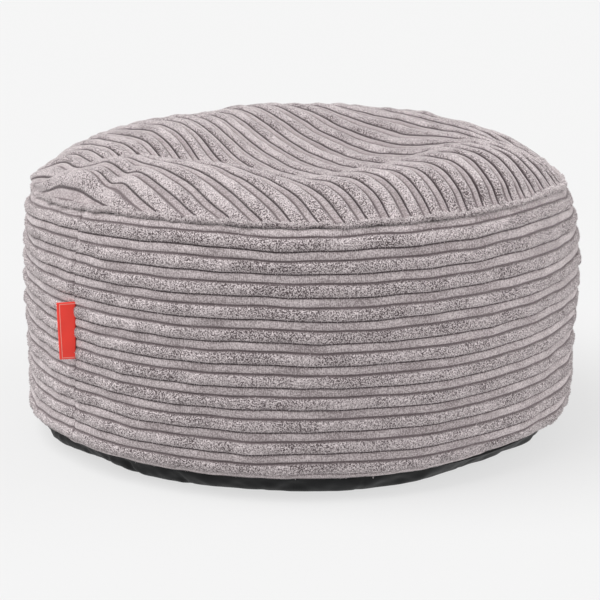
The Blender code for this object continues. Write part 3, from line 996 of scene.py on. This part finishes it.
def makeTufts(name, points, normals, draw, size=1.0, tone=(0, 1)):
    # Each tuft is a closed crumb of four faces: three feet sunk round its point and a tip leaning at random
    points = points.reshape(-1, 3)
    normals = normals.reshape(-1, 3)
    count = len(points)
    side = np.cross(normals, draw.normal(size=(count, 3)))
    side /= np.linalg.norm(side, axis=1)[:, None]
    other = np.cross(normals, side)
    breadth = tufts["footRadius"] * size * draw.uniform(*tufts["breadths"], count)[:, None]
    corners = []
    for turn in (0, 2 * np.pi / 3, 4 * np.pi / 3):
        reach = breadth * draw.uniform(*tufts["feet"], count)[:, None]
        outward = math.cos(turn) * side + math.sin(turn) * other
        corners.append(points + reach * outward - tufts["sunk"] * normals)
    lean = tufts["lean"] * size * draw.normal(size=(count, 2))
    tall = tufts["height"] * size * draw.uniform(*tufts["heights"], count)[:, None]
    corners.append(points + tall * normals + lean[:, :1] * side + lean[:, 1:] * other)
    first = np.arange(count)[:, None] * 4
    faces = np.concatenate([first + face for face in ((0, 1, 3), (1, 2, 3), (2, 0, 3), (2, 1, 0))])
    piece = meshObject(name, np.stack(corners, axis=1), [], faces, flatTriangles=False)
    # the feet are painted darker, as shade among the roots of the pile
    giveAttribute(piece, "tuftHeight", np.tile([tufts["footPaleness"]] * 3 + [1.0], count))
    giveAttribute(piece, "tuftTone", np.repeat(draw.uniform(*tone, count), 4))
    piece.data.materials.append(tips)
    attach(piece, "root")


def bandTufts(name, wales, seed):
    # Places across each wide wale by places round the band
    draw = np.random.default_rng(seed)
    around = int(2 * math.pi * band["planRadius"] / tufts["spacing"])
    margins = tufts["gentleMargin"], tufts["steepMargin"]
    cloth = acrossWales(draw, wales, (tufts["acrossBand"], around), margins, band["narrowShare"])[1]
    cloth = band["seamRoll"] + cloth
    turn = -180 + 360 * jittered(draw, np.arange(around), cloth.shape)
    kept = (cloth < bandCloth - tufts["edgeMargin"]) & (np.abs(turn) > tufts["joinMargin"])
    cloth, turn = cloth[kept], turn[kept]
    makeTufts(name, bandSurface(cloth, turn), surfaceNormals(bandSurface, cloth, turn, 0.2, 0.06), draw)


def topTufts(name, seed):
    # Places across each wide wale by places along it, out to the edge of the disc
    draw = np.random.default_rng(seed)
    radius = top["flatRadius"] - tufts["edgeMargin"]
    most = math.ceil(radius / cord["pairWidth"]) + 1
    steps = int(2 * radius / tufts["spacing"])
    grid = (tufts["acrossTop"], steps)
    margins = tufts["topMargin"], tufts["gentleMargin"]
    across, cloth = acrossWales(draw, range(-most, most), grid, margins, top["narrowShare"])
    cloth = top["firstNarrow"] + cloth
    along = -radius + 2 * radius * jittered(draw, np.arange(steps), cloth.shape)
    kept = np.hypot(cloth, along) < radius
    cloth, along, across = cloth[kept], along[kept], across[kept]
    points = topSurface(cloth, along)
    normals = -surfaceNormals(topSurface, cloth, along, 0.2, 0.3)
    lost = tufts["topShadeLoss"] * paintedTopShade(points)
    # tufts are painted darker towards a wale's steep side and where shade is painted on the top
    tone = [start + growth * across - lost for start, growth in zip(tufts["topTone"], tufts["topFlankShade"])]
    makeTufts(name, points, normals, draw, tufts["topSize"], tone)


def lipTufts(name, seed):
    # A jittered grid round the seam, from under the lip's outer side over its top to its inner side
    draw = np.random.default_rng(seed)
    around = int(2 * math.pi * lip["radius"] / tufts["lipSpacing"])
    shape = (tufts["lipRows"], around)
    low, high = tufts["lipSides"]
    side = np.radians(low + (high - low) * jittered(draw, np.arange(tufts["lipRows"])[:, None], shape))
    direction = 360 * jittered(draw, np.arange(around), shape)
    normals = surfaceNormals(lipSurface, direction, side, 0.05, 0.1)
    makeTufts(name, lipSurface(direction, side), normals, draw, tufts["lipSize"], tufts["lipTone"])


bandTufts("bandPileHigh", range(0, 7), 61)
bandTufts("bandPileLow", range(7, 14), 62)
topTufts("topPile", 63)
lipTufts("lipPile", 64)
print("pile made")

# Floor, light and camera
studio = {
    "floorColour": "#f4f4f4",
    "floorGlow": 0.73,  # share of the floor's brightness that shadow can't take away
    "floorShade": 0.155,  # how much light and shadow add to it
    "floorHalf": 20.0,  # metres, like the two below
    "lookAt": (0.0008, 0.0, 0.106),
    "distance": 1.724,
    "elevation": 14.1,
    "lens": 114.6,
    "skyStrength": 0.55,
    "lamps": (
        # name, strength, angle across in degrees, turns about X and Y in degrees
        ("overheadSoftbox", 3.3, 50, 8, -30),
        ("rightSoftbox", 2.7, 60, 0, 80),
        ("leftSoftbox", 0.25, 60, 0, -75),
    ),
}


def makeStudio():
    # A floor that stays pale in shadow, an even sky, three soft lamps and the camera
    scene = bpy.context.scene
    scene.view_settings.view_transform = "Standard"
    mesh = bpy.data.meshes.new("studioFloor")
    half = studio["floorHalf"]
    corners = [(-half, -half, 0), (half, -half, 0), (half, half, 0), (-half, half, 0)]
    mesh.from_pydata(corners, [], [(0, 1, 2, 3)])
    floor = bpy.data.objects.new("studioFloor", mesh)
    scene.collection.objects.link(floor)
    made = newMaterial("paleFloor", {
        "Roughness": 1.0,
        "Specular IOR Level": 0.0,
        "Base Color": (*[studio["floorShade"]] * 3, 1.0),
        "Emission Color": hexColour(studio["floorColour"]),
        "Emission Strength": studio["floorGlow"],
    })[0]
    mesh.materials.append(made)
    world = bpy.data.worlds.new("softSky")
    world.use_nodes = True
    sky = world.node_tree.nodes["Background"]
    sky.inputs["Color"].default_value = (1.0, 1.0, 1.0, 1.0)
    sky.inputs["Strength"].default_value = studio["skyStrength"]
    scene.world = world
    for name, strength, across, turnX, turnY in studio["lamps"]:
        lamp = bpy.data.lights.new(name, "SUN")
        lamp.energy = strength
        lamp.angle = math.radians(across)
        softbox = bpy.data.objects.new(name, lamp)
        softbox.rotation_euler = (math.radians(turnX), math.radians(turnY), 0)
        scene.collection.objects.link(softbox)
    lens = bpy.data.cameras.new("camera")
    lens.lens = studio["lens"]
    lens.sensor_width = 36
    camera = bpy.data.objects.new("camera", lens)
    rise = math.radians(studio["elevation"])
    x, y, z = studio["lookAt"]
    camera.location = (x, y - studio["distance"] * math.cos(rise), z + studio["distance"] * math.sin(rise))
    camera.rotation_euler = (math.pi / 2 - rise, 0, 0)
    scene.collection.objects.link(camera)
    scene.camera = camera


makeStudio()
print("studio made")

# Each piece goes under the root and hides the frame part it stands for
for piece, node, slot in (
    (bandPiece, "side_band", "mink_cord"),
    (topPiece, "top_panel", "mink_cord"),
    (basePiece, "base_panel", "charcoal_cloth"),
    (tabPiece, "label", "red_tab"),
):
    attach(piece, "root")
    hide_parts(node)
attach(lipPiece, "root")

bpy.context.view_layer.update()
